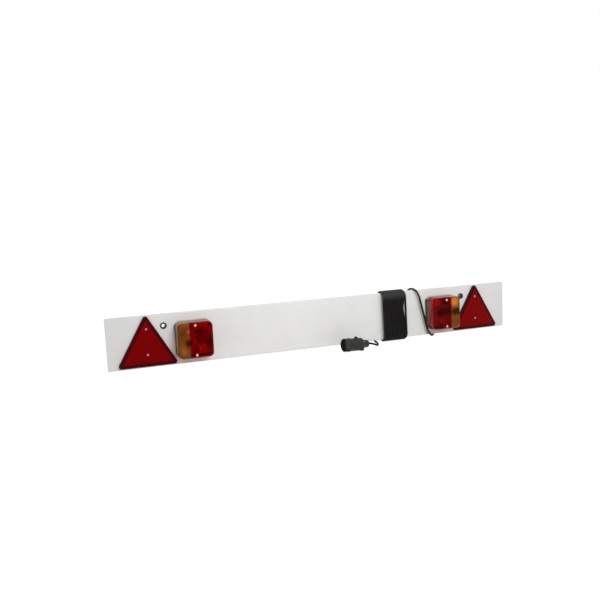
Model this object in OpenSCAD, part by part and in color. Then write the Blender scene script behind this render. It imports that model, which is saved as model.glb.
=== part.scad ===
// Trailer lighting board: a hollow plastic plank that hangs behind a load by two eyelets and
// carries a triangle reflector and a square rear lamp at each end. Its lead is wound round it.
// The origin lies on the back face, midway between the two hang holes. +X runs along the
// board to its right end as seen from behind the vehicle, -Y out of the front, +Z up.

/* [Board] */
// Distance between the two hang holes
hole_pitch = 915; // [800:1:1000]
// Left end of the board to the left hang hole
left_margin = 150; // [146:1:200]
// Right end of the board to the right hang hole
right_margin = 155; // [146:1:200]
// Height of the board
board_h = 140; // [138:1:160]
// Thickness of the board
board_t = 10; // [8:0.5:14]
// Height of the hang holes above the lower edge
hole_height = 108; // [100:1:115]
// Thickness of the plank's outer walls
skin = 1.6; // [1.2:0.1:2]
// Thickness of the webs between the plank's cells
web = 1.4; // [1:0.1:2]
// Number of cells in the plank
cells = 6; // [4:1:8]
// Radius of the plank's long edges
board_edge = 2.5; // [1:0.5:3.5]

/* [Hang grommets] */
// Radius of the hole through the grommet
grommet_hole_r = 4.75; // [4:0.25:5]
// Radius of the grommet's flanges
grommet_flange_r = 9; // [8:0.25:10]
// Thickness of each flange
grommet_flange_t = 1.6; // [1:0.1:2]
// Wall of the grommet's barrel
grommet_wall = 1.4; // [1:0.1:2]

/* [Triangle reflectors] */
// Hang hole to the triangle's centre line
triangle_offset = 46.5; // [46:0.5:50]
// Side of the triangle before its corners are rounded
triangle_side = 162; // [150:1:164]
// Corner radius of the triangle
triangle_corner = 7; // [5:0.5:9]
// Lower side of the triangle above the board's lower edge
triangle_rise = 4; // [2:0.5:5]
// Depth of the triangle in front of the board
triangle_depth = 7.5; // [6:0.5:9]
// Wall of the backing tray
tray_wall = 1.4; // [1:0.1:2]
// Floor of the backing tray
tray_floor = 1.6; // [1:0.1:2]
// Thickness of the red lens
reflector_wall = 2; // [1.5:0.1:2.5]
// Width of the plain band round the prism field
reflector_band = 7; // [5:0.5:9]
// Height that the prism field stands above the band
reflector_step = 0.8; // [0.5:0.1:1.2]
// Lower screw above the triangle's lower side
triangle_screw_low = 32; // [28:1:36]
// Distance between the triangle's two screws
triangle_screw_pitch = 68; // [60:1:70]

/* [Lamps] */
// Hang hole to the lamp's centre line
lamp_offset = 76.5; // [75:0.5:90]
// Lamp centre above the board's lower edge
lamp_rise = 67; // [62:0.5:70]
// Width of the lamp's base
lamp_w = 98; // [96:0.5:100]
// Height of the lamp's base
lamp_h = 100; // [98:0.5:104]
// Corner radius of the lamp's base
lamp_corner = 15; // [12:0.5:18]
// Depth of the base
base_depth = 10; // [9:0.5:12]
// Depth of the whole lamp
lamp_depth = 44; // [42:0.5:48]
// Wall of the base
base_wall = 2.4; // [2:0.1:2.6]
// Floor of the base
base_floor = 2.2; // [1.8:0.1:2.6]
// Step in from the base to the lens
lens_step = 1; // [0.5:0.1:1.5]
// Wall of the lenses
lens_wall = 2.4; // [2:0.1:2.8]
// Rounding of the lens's front edge
lens_round = 5; // [4:0.5:6]
// Width of the amber lens
amber_w = 32; // [28:0.5:34]
// Height of the clear window in the lamp's inner side
window_h = 74; // [66:1:76]
// Depth of the clear window
window_depth = 21; // [16:0.5:22]
// Lens screws' distance from the lamp's upper and lower edges
lens_screw_inset = 10; // [10:0.5:12]
// Radius of the lens screw posts
post_r = 4.6; // [4:0.1:5]
// Distance between the lamp's two fixing bolts
lamp_bolt_pitch = 45; // [40:1:50]
// Number of upright flutes inside the red lens
flutes = 7; // [5:1:8]
// Depth of the flutes
flute_depth = 0.9; // [0.5:0.1:1]
// Thickness of the seal between base and lens
seal_t = 1.5; // [1:0.1:2]

/* [Bulbs] */
// Radius of the bulbs' glass
bulb_r = 12.5; // [10:0.5:13]
// Length of the glass past its cap
bulb_glass = 36; // [30:1:38]
// Radius of the bulb caps
cap_r = 7.6; // [7:0.1:8]
// Length of the bulb caps
cap_len = 15; // [12:0.5:16]
// Height of the bulbs' axis above the board
bulb_axis = 25; // [24:0.5:26]
// Thickness of the bulb plate and its divider
plate_t = 1.2; // [0.8:0.1:1.6]
// Height of the bulb plate above the board
plate_rise = 7; // [6:0.5:8]

/* [Fasteners] */
// Radius of the fixing bolts
bolt_r = 2.5; // [2:0.1:2.6]
// Radius of their pan heads
bolt_head_r = 4.4; // [4:0.1:4.8]
// Height of their pan heads
bolt_head_h = 2.6; // [2:0.1:3]
// Radius of the washers
washer_r = 6; // [5:0.5:7]
// Thickness of the washers
washer_t = 1; // [0.8:0.1:1.5]
// Width of the nuts across their flats
nut_af = 8; // [7:0.5:9]
// Thickness of the nuts
nut_t = 4; // [3:0.5:5]
// Clearance round screws and bolts
screw_play = 0.2; // [0.1:0.05:0.3]
// Clearance where one piece drops into another
seat_play = 0.2; // [0.1:0.05:0.3]

/* [Cables] */
// Diameter of the link cable
link_d = 5.5; // [5:0.1:6]
// Height of the link cable above the board's lower edge
link_rise = 82; // [78:1:90]
// Height of the main lead's bush above the board's lower edge
lead_rise = 58; // [50:1:60]
// Radius of the cable bush's barrel
bush_r = 6; // [5:0.5:7]
// Radius of the cable bush's flange
bush_flange_r = 9; // [8:0.5:10]
// Length of the cable bush behind the board
bush_nose = 8; // [6:0.5:10]
// Width of a cable clip along the cable
clip_w = 8; // [6:0.5:10]
// Wall of a cable clip
clip_wall = 1.6; // [1.2:0.1:2]

/* [Plug] */
// Outer radius of the plug's skirt
skirt_r = 18.5; // [18:0.25:18.75]
// Wall of the skirt
skirt_wall = 2.2; // [1.8:0.1:2.6]
// Length of the skirt
skirt_len = 14; // [12:0.5:16]
// Outer radius of the band behind the skirt
band_r = 19; // [19:0.25:20.5]
// Outer radius of the barrel and of its rear cover
barrel_r = 17.75; // [17.5:0.25:18.5]
// Length of the barrel behind the skirt
barrel_len = 36; // [32:0.5:40]
// Length of the rear cover
cover_len = 20; // [18:0.5:24]
// Radius of the rear cover's neck
neck_r = 11.5; // [11:0.25:13]
// Length of the cable nut past the neck
nut_len = 10; // [8:0.5:12]
// Radius of the cable nut
gland_nut_r = 10.5; // [10:0.25:11]
// Depth of the insert's face behind the rim
insert_depth = 9; // [8:0.5:10]
// Radius of the circle of pins
pin_circle_r = 10.5; // [9:0.25:11]
// Radius of each pin
pin_r = 2.2; // [1.8:0.1:2.4]
// Width of the keyway in the skirt
keyway_w = 9; // [7:0.5:10]
// Turn of the plug on the floor
plug_yaw = 8; // [0:1:16]
// Dip of the plug's cable end
plug_dip = 4; // [0:1:5]

/* [Hidden] */

left = -1;
right = 1;
far = 400;
cut = 1;
round_fn = 96;
small_fn = 48;

bottom = -hole_height;
top = board_h - hole_height;
front = -board_t;
left_end = -hole_pitch / 2 - left_margin;
right_end = hole_pitch / 2 + right_margin;

triangle_x = hole_pitch / 2 + triangle_offset;
triangle_z = bottom + triangle_rise;
lamp_x = hole_pitch / 2 - lamp_offset;
lamp_z = bottom + lamp_rise;

// Inside the lamp, heights are measured from the board's front face
lens_w = lamp_w - 2 * lens_step;
lens_h = lamp_h - 2 * lens_step;
lens_corner = lamp_corner - lens_step;
lens_base = base_depth + seal_t;
seal_w = base_wall + 1;
lens_inside = lamp_depth - lens_wall;
split_x = lens_w / 2 - amber_w;
draft = 0.6;
lens_screw_pitch = lamp_h - 2 * lens_screw_inset;
plate_margin = 3;
plate_w = lens_w - 2 * (lens_wall + plate_margin);
plate_h = lens_h - 2 * (lens_wall + plate_margin);

// The posts end just under the curve of the lens's inner edge
inner_round = lens_round - lens_wall;
post_play = 0.5;
post_room = min(inner_round, lens_h / 2 - lens_wall - draft - lens_screw_pitch / 2 - post_r);
post_top = lamp_depth - lens_round - post_play
    + inner_round * sqrt(1 - pow(1 - post_room / inner_round, 2));
lens_screw_r = 1.6;
lens_screw_grip = 12;
thread_play = 0.1;

// Places of the bushes from the lamp's centre
bush_hole_r = bush_r + seat_play;
link_bush_at = [-12, link_rise - lamp_rise];
lead_bush_at = [-3, lead_rise - lamp_rise];
bush_lip = 2;
nose_wall = 1.4;
bush_past = 1.5;
nut_back = washer_t + nut_t;
bolt_past = 1.5;

grommet_barrel_r = grommet_hole_r + grommet_wall;
grommet_board_r = grommet_barrel_r + seat_play;

// Clips along the link cable, clear of the winding
clip_places = [-285, -190, -95, 0, 95, 150, 300];
clip_screw_r = 1.6;
clip_screw_head_r = 3;
clip_screw_head_h = 1.6;
clip_screw_len = 8;
clip_foot = 11;
clip_foot_t = 1.8;

link_z = bottom + link_rise;
link_y = link_d / 2 + 0.3;

// The main lead and the twelve turns of it round the board
lead_d = 6;
wind_r = 18;
wind_gap = 0.5;
wind_right = 260;
wind_left = 181;
mid_y = front / 2;
bend_low_z = bottom + wind_r - lead_d / 2 - wind_gap;
bend_high_z = top - wind_r + lead_d / 2 + wind_gap;
floor_z = bend_low_z - wind_r - lead_d / 2;

bore_r = skirt_r - skirt_wall;
cavity_r = bore_r - 3;
insert_len = 11;
barrel_end = skirt_len + barrel_len;
cover_end = barrel_end + cover_len;
plug_end = cover_end + nut_len;
band_len = 3;
groove_r = 1.6;
groove_depth = 0.7;
grooves = 16;
cover_bolt_r = 1.3;
cover_bolt_circle = (cavity_r + barrel_r) / 2;
cover_bolt_grip = 9;
cover_flange = 6;
cover_head_r = 2.2;
spigot_len = 4;
spigot_r = gland_nut_r - 3;
nut_taper = 2;
nut_cap = 1.5;

// The plug lies on the floor on its barrel's rear edge and on a foot of the rear cover
cover_foot_w = 7;
cover_foot_len = 9;
cover_foot_turn = -40;
cover_foot_r = (barrel_r + (cover_flange - cover_foot_len) * tan(plug_dip)
    - cover_foot_w / 2 * sin(-cover_foot_turn)) / cos(cover_foot_turn);
plug_at = [24, -93,
    floor_z + barrel_r * cos(plug_dip) + (barrel_end + cover_flange) * sin(plug_dip)];

// The main lead's route: out of the bush, down the back, under the board, slantwise up the
// front, over the top and down the back into the winding's right side
lead_start = [lamp_x + lead_bush_at[0], bush_nose, lamp_z + lead_bush_at[1]];
lead_route = [
    [378, 14, -50], [378, 22, -52], [377, 27, -58], [376, 28, -68], [375, 25, -80],
    [374, 20, -92], [371.5, 13, -103], [367, 5, -110], [360, -4, -111.5],
    [351, -13, -110.5],
    [341, -20, -103.5], [333.5, -22.5, -94], [328.5, -23, -80], [323.5, -23, -58],
    [317, -23, -33], [311, -23, -9], [305, -22.5, 14], [300, -20, 26.5], [295, -14, 33.6],
    [290, -5, 36.2], [286, 4, 33.6], [282.5, 10.5, 26], [279, 13, 15], [273, 13, 0],
    [268, 13, -14.5], [263.5, 13, -29],
];
lead_end = [wind_right, 13, -40];

// The tail's route: out of the winding's left side, down to the floor, forward under the
// board and round to the plug
tail_start = [wind_left, 13, -76];
tail_route = [
    [176.5, 13, -88], [172, 12, -99], [168, 8, -107], [165, 0, -111],
    [163, -10, -111.5], [160.5, -22, -111.5], [156.5, -35, -111.5], [151, -48, -111.5],
    [144.5, -59.5, -111], [137, -68.5, -108.5], [129, -75, -105], [120, -79, -101.5],
    [111, -80.8, -99.3],
];

function unit(v) = v / norm(v);
function turned(p, yaw, tilt) =
    [
        (p[0] * cos(tilt) + p[2] * sin(tilt)) * cos(yaw) - p[1] * sin(yaw),
        (p[0] * cos(tilt) + p[2] * sin(tilt)) * sin(yaw) + p[1] * cos(yaw),
        -p[0] * sin(tilt) + p[2] * cos(tilt),
    ];
function on_plug(p) = plug_at + turned(p, plug_yaw, 90 + plug_dip);

// A tube swept along its route: one ring at each point, the end rings cut flat by a plane
// whose normal is given, so that they meet what they butt against
function way(points, i) =
    i == 0 ? unit(points[1] - points[0])
    : i == len(points) - 1 ? unit(points[i] - points[i - 1])
    : unit(unit(points[i + 1] - points[i]) + unit(points[i] - points[i - 1]));
function carried(v, along) = unit(v - (v * along) * along);
function side_ways(points, seed) = [
    for (i = 0, v = carried(seed, way(points, 0)); i < len(points);
        i = i + 1, v = i < len(points) ? carried(v, way(points, i)) : v) v
];
function flat_cut(p, at, along, normal) =
    p + along * (((at - p) * normal) / (along * normal));
function ring(at, along, across, r, sides, normal) = [
    for (k = [0 : sides - 1])
        let (p = at + r * (cos(360 * k / sides) * across
            + sin(360 * k / sides) * cross(along, across)))
        is_undef(normal) ? p : flat_cut(p, at, along, normal)
];

module tube(points, d, sides, seed, first_normal, last_normal) {
    n = len(points);
    across = side_ways(points, seed);
    rings = [
        for (i = [0 : n - 1])
            ring(points[i], way(points, i), across[i], d / 2, sides,
                i == 0 ? first_normal : i == n - 1 ? last_normal : undef)
    ];
    corners = [for (one = rings) for (p = one) p];
    walls = [
        for (i = [0 : n - 2], k = [0 : sides - 1])
            let (a = i * sides + k, b = i * sides + (k + 1) % sides)
            each [[a, b, b + sides], [a, b + sides, a + sides]]
    ];
    near_cap = [for (k = [sides - 1 : -1 : 0]) k];
    far_cap = [for (k = [0 : sides - 1]) (n - 1) * sides + k];
    polyhedron(corners, concat([near_cap], walls, [far_cap]), convexity = 10);
}

// A closed form lofted through rounded rectangles: each level gives a height and how far it
// is drawn in from the full width
function corner_points(w, h, r, steps) = [
    for (q = [[1, 1, 0], [-1, 1, 90], [-1, -1, 180], [1, -1, 270]], k = [0 : steps])
        let (a = q[2] + 90 * k / steps)
        [q[0] * (w / 2 - r) + r * cos(a), q[1] * (h / 2 - r) + r * sin(a)]
];
module lofted_box(w, h, r, levels, steps) {
    count = 4 * (steps + 1);
    last = len(levels) - 1;
    corners = [
        for (level = levels)
            for (p = corner_points(w - 2 * level[1], h - 2 * level[1], r - level[1], steps))
                [p[0], p[1], level[0]]
    ];
    walls = [
        for (i = [0 : last - 1], k = [0 : count - 1])
            let (a = i * count + k, b = i * count + (k + 1) % count)
            each [[a, b + count, b], [a, a + count, b + count]]
    ];
    polyhedron(corners, concat([[for (k = [0 : count - 1]) k]], walls,
        [[for (k = [count - 1 : -1 : 0]) last * count + k]]), convexity = 6);
}

module rounded(w, h, r) {
    square([w - 2 * r, h], center = true);
    square([w, h - 2 * r], center = true);
    for (x = [-1, 1], y = [-1, 1])
        translate([x * (w / 2 - r), y * (h / 2 - r)]) circle(r, $fn = small_fn);
}

// An upright triangle that stands on y = 0, with its corners rounded and its sides drawn in
function tri_corner(s, r, k) =
    [0, s / (2 * sqrt(3))] + (s / sqrt(3) - 2 * r) * [cos(90 + 120 * k), sin(90 + 120 * k)];
module triangle(inset) {
    small = max(triangle_corner - inset, 0.5);
    polygon([
        for (k = [0 : 2], turn = [-60 : 15 : 60])
            tri_corner(triangle_side, inset + small, k)
                + small * [cos(90 + 120 * k + turn), sin(90 + 120 * k + turn)]
    ]);
}

// The right side is drawn, and the left is its mirror image about the midplane
module on_side(side) {
    if (side == right) children();
    else mirror([1, 0, 0]) children();
}
// Local x stays along the board, local y becomes up and local z leaves the front face
module on_front(x, z) {
    translate([x, front, z]) rotate([90, 0, 0]) children();
}
// The same for the back face, where local z leaves it backwards
module on_back(x, z) {
    translate([x, 0, z]) rotate([90, 0, 0]) mirror([0, 0, 1]) children();
}
module through_board(r) {
    translate([0, 0, -board_t - cut]) cylinder(h = board_t + 2 * cut, r = r, $fn = small_fn);
}

module pan_screw(r, head_r, head_h, length) {
    translate([0, 0, -length]) cylinder(h = length, r = r, $fn = small_fn);
    rotate_extrude($fn = small_fn) difference() {
        union() {
            square([head_r, head_h * 0.45]);
            intersection() {
                translate([0, head_h - head_r * 1.6]) circle(head_r * 1.6, $fn = round_fn);
                square([head_r, head_h]);
            }
        }
        translate([-2 * head_r, -cut]) square([2 * head_r, head_h + 2 * cut]);
    }
}
module slotted(head_h) {
    difference() {
        children();
        translate([0, 0, head_h])
            for (turn = [0, 90]) rotate(turn) cube([5, 1, 1.6], center = true);
    }
}
module washer_and_nut() {
    difference() {
        cylinder(h = washer_t, r = washer_r, $fn = small_fn);
        translate([0, 0, -cut])
            cylinder(h = washer_t + 2 * cut, r = bolt_r + screw_play, $fn = small_fn);
    }
    difference() {
        translate([0, 0, washer_t])
            cylinder(h = nut_t, r = nut_af / sqrt(3), $fn = 6);
        translate([0, 0, -cut])
            cylinder(h = nut_back + 2 * cut, r = bolt_r + screw_play, $fn = small_fn);
    }
}

module plank_profile() {
    cell_h = (board_h - 2 * skin - (cells - 1) * web) / cells;
    difference() {
        translate([front / 2, (top + bottom) / 2]) rounded(board_t, board_h, board_edge);
        for (k = [0 : cells - 1])
            translate([front + skin, bottom + skin + k * (cell_h + web)])
                square([board_t - 2 * skin, cell_h]);
    }
}
module board() {
    color("white") difference() {
        translate([left_end, 0, 0]) rotate([90, 0, 90])
            linear_extrude(right_end - left_end) plank_profile();
        for (side = [left, right]) on_side(side) {
            on_back(hole_pitch / 2, 0) through_board(grommet_board_r);
            on_back(triangle_x, triangle_z)
                for (z = triangle_screw_places()) translate([0, z, 0])
                    through_board(bolt_r + screw_play);
            on_back(lamp_x, lamp_z) {
                bolt_places() through_board(bolt_r + screw_play);
                translate(link_bush_at) through_board(bush_hole_r);
            }
        }
        on_back(lamp_x, lamp_z) translate(lead_bush_at) through_board(bush_hole_r);
        for (x = clip_places) on_back(x, link_z - clip_foot / 2 - link_d / 2)
            translate([0, 0, -clip_screw_len]) cylinder(h = clip_screw_len + cut,
                r = clip_screw_r, $fn = small_fn);
    }
}

module hang_grommet(side) {
    edge = grommet_flange_t / 2;
    flange_w = grommet_flange_r - grommet_hole_r - edge;
    color("dimgray") on_side(side) translate([hole_pitch / 2, 0, 0]) rotate([90, 0, 0])
        rotate_extrude($fn = round_fn) {
            translate([grommet_hole_r, 0]) square([grommet_wall, board_t]);
            for (z = [-grommet_flange_t, board_t]) translate([grommet_hole_r, z]) {
                square([flange_w, grommet_flange_t]);
                translate([flange_w, edge]) intersection() {
                    circle(edge, $fn = small_fn);
                    translate([0, -edge]) square([edge, grommet_flange_t]);
                }
            }
        }
}

function triangle_screw_places() =
    [triangle_screw_low, triangle_screw_low + triangle_screw_pitch];
tray_rim = triangle_depth - reflector_step - 0.6;
tray_boss_r = 4.5;
lens_inset = tray_wall + seat_play;

module triangle_tray(side) {
    color("#141010") on_side(side) on_front(triangle_x, triangle_z) difference() {
        union() {
            difference() {
                linear_extrude(tray_rim) triangle(0);
                translate([0, 0, tray_floor]) linear_extrude(far) triangle(tray_wall);
            }
            for (z = triangle_screw_places()) translate([0, z, 0])
                cylinder(h = triangle_depth - reflector_wall - seat_play, r = tray_boss_r,
                    $fn = small_fn);
        }
        for (z = triangle_screw_places()) translate([0, z, -cut])
            cylinder(h = far, r = bolt_r + screw_play, $fn = small_fn);
    }
}
module triangle_reflector(side) {
    field = triangle_depth;
    band = triangle_depth - reflector_step;
    color("#a00810") on_side(side) on_front(triangle_x, triangle_z) difference() {
        union() {
            translate([0, 0, tray_floor + seat_play])
                linear_extrude(band - tray_floor - seat_play) triangle(lens_inset);
            translate([0, 0, band - cut])
                linear_extrude(reflector_step + cut) triangle(lens_inset + reflector_band);
        }
        translate([0, 0, -cut]) linear_extrude(band - reflector_wall + cut)
            triangle(lens_inset + reflector_wall);
        for (z = triangle_screw_places()) translate([0, z, -cut])
            cylinder(h = field + 2 * cut, r = bolt_r + screw_play, $fn = small_fn);
        for (z = triangle_screw_places()) translate([0, z, -cut])
            cylinder(h = field - reflector_wall + cut, r = tray_boss_r + seat_play,
                $fn = small_fn);
    }
}
module triangle_screws(side) {
    color("silver") on_side(side) on_front(triangle_x, triangle_z)
        for (z = triangle_screw_places()) translate([0, z, triangle_depth])
            slotted(bolt_head_h) pan_screw(bolt_r, bolt_head_r, bolt_head_h,
                triangle_depth + board_t + nut_back + bolt_past);
}
module triangle_nuts(side) {
    color("silver") on_side(side) on_back(triangle_x, triangle_z)
        for (z = triangle_screw_places()) translate([0, z, 0]) washer_and_nut();
}

module lens_posts(r, h) {
    for (y = [-1, 1]) translate([0, y * lens_screw_pitch / 2, 0])
        cylinder(h = h, r = r, $fn = small_fn);
}
module bolt_places() {
    for (x = [-1, 1]) translate([x * lamp_bolt_pitch / 2, 0, 0]) children();
}

bolt_boss_r = 6;
bolt_seat = plate_rise - bolt_head_h - 2 * seat_play;
standoff_r = 3;
standoff_at = [plate_w / 2 - 8.6, plate_h / 2 - 13.6];
module lamp_base(side) {
    color("#1c1c1a") on_side(side) on_front(lamp_x, lamp_z) difference() {
        union() {
            difference() {
                linear_extrude(base_depth) rounded(lamp_w, lamp_h, lamp_corner);
                translate([0, 0, base_floor]) linear_extrude(far)
                    rounded(lamp_w - 2 * base_wall, lamp_h - 2 * base_wall,
                        lamp_corner - base_wall);
            }
            lens_posts(post_r, post_top);
            bolt_places() cylinder(h = bolt_seat, r = bolt_boss_r, $fn = small_fn);
            for (x = [-1, 1], y = [-1, 1])
                translate([x * standoff_at[0], y * standoff_at[1], 0])
                    cylinder(h = plate_rise, r = standoff_r, $fn = small_fn);
        }
        translate([0, 0, lens_inside - lens_screw_grip - 2])
            lens_posts(lens_screw_r + thread_play, far);
        bolt_places() translate([0, 0, -cut])
            cylinder(h = far, r = bolt_r + screw_play, $fn = small_fn);
        translate([link_bush_at[0], link_bush_at[1], -cut])
            cylinder(h = far, r = bush_hole_r, $fn = small_fn);
        if (side == right) translate([lead_bush_at[0], lead_bush_at[1], -cut])
            cylinder(h = far, r = bush_hole_r, $fn = small_fn);
    }
}
module lamp_seal(side) {
    color("#0c0c0c") on_side(side) on_front(lamp_x, lamp_z)
        translate([0, 0, base_depth]) linear_extrude(seal_t) difference() {
            rounded(lamp_w - 2 * lens_step, lamp_h - 2 * lens_step, lens_corner);
            rounded(lamp_w - 2 * seal_w, lamp_h - 2 * seal_w, lamp_corner - seal_w);
        }
}

// The whole lens before it is divided into its colours
function lens_levels(in, top_z) = concat(
    [[in > 0 ? -cut : lens_base, in], [top_z - lens_round, in + draft]],
    [for (a = [30 : 30 : 90])
        [top_z - lens_round + (lens_round - in) * sin(a),
            in + draft + (lens_round - in) * (1 - cos(a))]]
);
module lens_form(in) {
    lofted_box(lens_w, lens_h, lens_corner, lens_levels(in, lamp_depth), 6);
}
module lens_flutes() {
    from_x = -lens_w / 2 + lens_wall + 4;
    to_x = split_x - lens_wall - 2;
    w = (to_x - from_x) / flutes;
    for (k = [0 : flutes - 1])
        translate([from_x + w * (k + 0.5), 0, lens_inside])
            intersection() {
                translate([0, 0, -w + flute_depth]) rotate([90, 0, 0])
                    cylinder(h = lens_screw_pitch - 3 * post_r, r = w, center = true,
                        $fn = small_fn);
                translate([-w / 2 + 0.4, -far / 2, -cut]) cube([w - 0.8, far, far]);
            }
}
module lens_shell() {
    difference() {
        lens_form(0);
        lens_form(lens_wall);
        lens_posts(lens_screw_r + screw_play, far);
        lens_flutes();
    }
}
// The window's own block of space, on the lamp's inner side
module window_room(play) {
    translate([-lens_w / 2 - cut, -window_h / 2 - play, lens_base - cut])
        cube([lens_wall + draft + cut, window_h + 2 * play, window_depth + cut + play]);
}
module lamp_red_lens(side) {
    color("#b00010") on_side(side) on_front(lamp_x, lamp_z) difference() {
        lens_shell();
        translate([split_x, -far / 2, -cut]) cube([far, far, far]);
        window_room(seat_play / 2);
    }
}
module lamp_amber_lens(side) {
    color("#e07a10") on_side(side) on_front(lamp_x, lamp_z) intersection() {
        lens_shell();
        translate([split_x, -far / 2, -cut]) cube([far, far, far]);
    }
}
module lamp_window(side) {
    color("#d8d4c8") on_side(side) on_front(lamp_x, lamp_z) intersection() {
        lens_shell();
        window_room(-seat_play / 2);
    }
}

divider_x = split_x - plate_t / 2;
stop_bulb_x = (divider_x - lens_w / 2) / 2 + 4;
amber_bulb_x = split_x + amber_w / 2 - 1;
bulb_foot_y = 9.6 - plate_h / 2;
holder_t = 1.2;
amber_glass_r = min(bulb_r, amber_w / 2 - lens_wall - draft - 1);
divider_margin = 12;
divider_gap = 2.5;
module lamp_bulb_plate(side) {
    color("#d8d8d4") on_side(side) on_front(lamp_x, lamp_z) difference() {
        union() {
            translate([0, 0, plate_rise]) linear_extrude(plate_t)
                rounded(plate_w, plate_h, lens_corner - lens_wall - plate_margin);
            translate([divider_x - plate_t / 2, -plate_h / 2 + divider_margin, plate_rise])
                cube([plate_t, plate_h - 2 * divider_margin,
                    lens_inside - divider_gap - plate_rise]);
        }
        lens_posts(post_r + 1, far);
        translate([link_bush_at[0], link_bush_at[1], 0])
            cylinder(h = far, r = bush_flange_r, $fn = small_fn);
        if (side == right) translate([lead_bush_at[0], lead_bush_at[1], 0])
            cylinder(h = plate_rise + 2 * plate_t, r = bush_flange_r, $fn = small_fn);
    }
}
module bulb(x, glass_r) {
    translate([x, bulb_foot_y, bulb_axis]) rotate([-90, 0, 0]) rotate_extrude($fn = small_fn)
        intersection() {
            union() {
                square([cap_r, cap_len]);
                translate([0, cap_len]) square([cap_r - 1, bulb_glass - glass_r]);
                translate([0, cap_len + bulb_glass - glass_r]) circle(glass_r, $fn = round_fn);
                polygon([
                    [0, cap_len], [cap_r - 1, cap_len],
                    [glass_r * 0.985, cap_len + bulb_glass - 1.17 * glass_r],
                    [0, cap_len + bulb_glass - glass_r],
                ]);
            }
            square([far, far]);
        }
}
module lamp_stop_bulb(side) {
    color("#c8c8c0") on_side(side) on_front(lamp_x, lamp_z) bulb(stop_bulb_x, bulb_r);
}
module lamp_indicator_bulb(side) {
    color("#c8c8c0") on_side(side) on_front(lamp_x, lamp_z)
        bulb(amber_bulb_x, amber_glass_r);
}
holder_w = 10;
holder_lip = 2;
module holder(x) {
    ring_r = cap_r + seat_play;
    low = plate_rise + plate_t;
    holder_len = cap_len - 2 * holder_lip;
    difference() {
        translate([x, bulb_foot_y + holder_lip, 0]) {
            translate([0, 0, bulb_axis]) rotate([-90, 0, 0])
                cylinder(h = holder_len, r = ring_r + holder_t, $fn = small_fn);
            translate([-holder_w / 2, 0, low])
                cube([holder_w, 2 * holder_t, bulb_axis - ring_r - low]);
            translate([-holder_w / 2, 0, low]) cube([holder_w, holder_len, holder_t]);
        }
        translate([x, bulb_foot_y - cut, bulb_axis]) rotate([-90, 0, 0])
            cylinder(h = far, r = ring_r, $fn = small_fn);
    }
}
module lamp_holders(side) {
    color("goldenrod") on_side(side) on_front(lamp_x, lamp_z) {
        holder(stop_bulb_x);
        holder(amber_bulb_x);
    }
}
module lamp_lens_screws(side) {
    color("silver") on_side(side) on_front(lamp_x, lamp_z)
        for (y = [-1, 1]) translate([0, y * lens_screw_pitch / 2, lamp_depth])
            slotted(bolt_head_h)
                pan_screw(lens_screw_r, bolt_head_r, bolt_head_h, lens_wall + lens_screw_grip);
}
module lamp_bolts(side) {
    color("silver") on_side(side) on_front(lamp_x, lamp_z) bolt_places()
        translate([0, 0, bolt_seat]) slotted(bolt_head_h)
            pan_screw(bolt_r, bolt_head_r, bolt_head_h,
                bolt_seat + board_t + nut_back + bolt_past);
}
module lamp_nuts(side) {
    color("silver") on_side(side) on_back(lamp_x, lamp_z) bolt_places() washer_and_nut();
}

// A rubber bush that carries a cable through the board, with a tapered nose at the back
module cable_bush(cable_d) {
    bush_bore_r = cable_d / 2 + seat_play / 2;
    inside = board_t + base_floor + bush_past;
    rotate_extrude($fn = small_fn) difference() {
        union() {
            translate([0, -inside]) square([bush_r, inside]);
            square([bush_flange_r, bush_lip]);
            polygon([
                [0, bush_lip], [bush_r, bush_lip], [bush_bore_r + nose_wall, bush_nose],
                [0, bush_nose],
            ]);
        }
        translate([-cut, -far / 2]) square([bush_bore_r + cut, far]);
    }
}
module lamp_cable_bush(side) {
    color("#161616") on_side(side) on_back(lamp_x, lamp_z) translate(link_bush_at)
        cable_bush(link_d);
}
module lead_bush() {
    color("#161616") on_back(lamp_x, lamp_z) translate(lead_bush_at) cable_bush(lead_d);
}

// One half of the link cable's route, from a lamp's bush to where it lies on the board
link_in = lamp_x + link_bush_at[0];
link_half = [
    [link_in, bush_nose - 18, link_z], [link_in, bush_nose + 3, link_z],
    [link_in - 2.5, bush_nose + 10, link_z], [link_in - 9, bush_nose + 14, link_z],
    [link_in - 18, bush_nose + 13, link_z], [link_in - 29, bush_nose + 7, link_z],
    [link_in - 40, link_y + 3.5, link_z], [link_in - 51, link_y + 0.8, link_z],
    [link_in - 62, link_y, link_z],
];
module link_cable() {
    last = len(link_half) - 1;
    left_half = [for (i = [last : -1 : 0]) [-link_half[i][0], link_half[i][1], link_z]];
    color("#1a1a1a") tube(concat(link_half, left_half), link_d, 12, [0, 0, 1],
        [0, 1, 0], [0, 1, 0]);
}

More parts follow.
